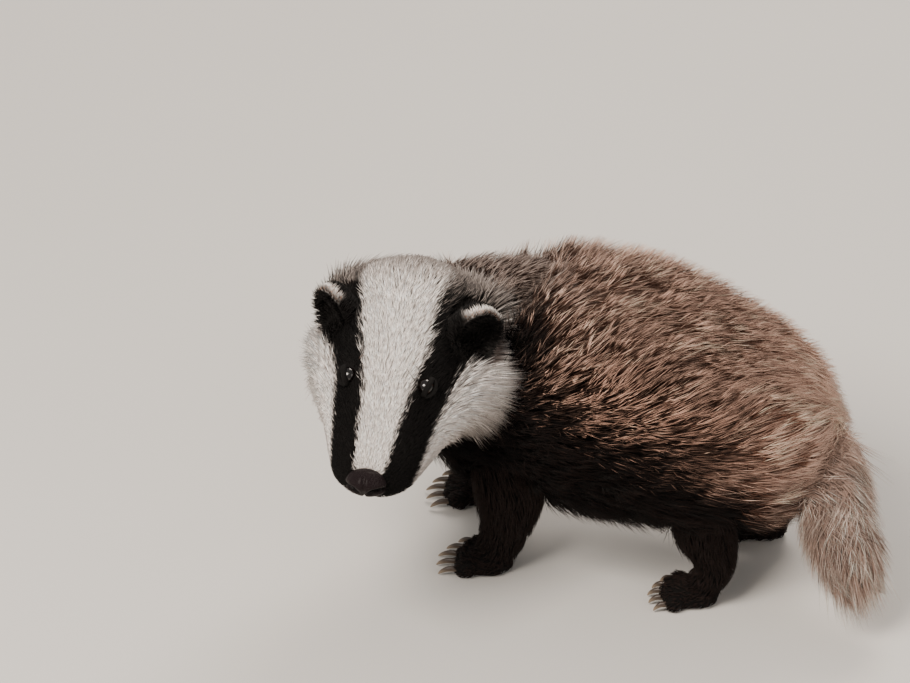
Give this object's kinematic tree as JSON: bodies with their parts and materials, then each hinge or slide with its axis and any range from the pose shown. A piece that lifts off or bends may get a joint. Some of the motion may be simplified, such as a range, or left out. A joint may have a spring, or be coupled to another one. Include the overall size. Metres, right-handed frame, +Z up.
{
  "type": "badger",
  "caption": "Young badger standing with its long-striped head turned and lowered, its grizzled coat in flat pointed locks, and a short pale tail.",
  "frame": {"origin": "on the floor, at the middle of the model's box", "axes": "+Z up from the floor; +X towards the rump, so the head end is at -X; -Y is the animal's left, the side its head is turned to"},
  "size_m": [0.3436, 0.225, 0.2086],
  "materials": {
    "coat": "long grizzled fur, pale at the tips and dark between",
    "face": "short white fur with two black stripes",
    "ear": "short black fur with a white edge",
    "leg": "short black-brown fur",
    "tail": "long pale fur",
    "nose": "bare, moist and finely pebbled",
    "eye": "wet, almost black",
    "claw": "horn, satin"
  },
  "bodies": {
    "root": {"torso": "coat", "neck": "coat", "head": "face", "nose_pad": "nose", "ear_left": "ear", "ear_right": "ear", "eye_left": "eye", "eye_right": "eye", "tail": "tail", "foreleg_left": "leg", "foreleg_right": "leg", "hindleg_left": "leg", "hindleg_right": "leg", "claw_foreleg_left_1": "claw", "claw_foreleg_left_2": "claw", "claw_foreleg_left_3": "claw", "claw_foreleg_left_4": "claw", "claw_foreleg_left_5": "claw", "claw_foreleg_right_1": "claw", "claw_foreleg_right_2": "claw", "claw_foreleg_right_3": "claw", "claw_foreleg_right_4": "claw", "claw_foreleg_right_5": "claw", "claw_hindleg_left_1": "claw", "claw_hindleg_left_2": "claw", "claw_hindleg_left_3": "claw", "claw_hindleg_left_4": "claw", "claw_hindleg_left_5": "claw", "claw_hindleg_right_1": "claw", "claw_hindleg_right_2": "claw", "claw_hindleg_right_3": "claw", "claw_hindleg_right_4": "claw", "claw_hindleg_right_5": "claw"}
  },
  "joints": []
}
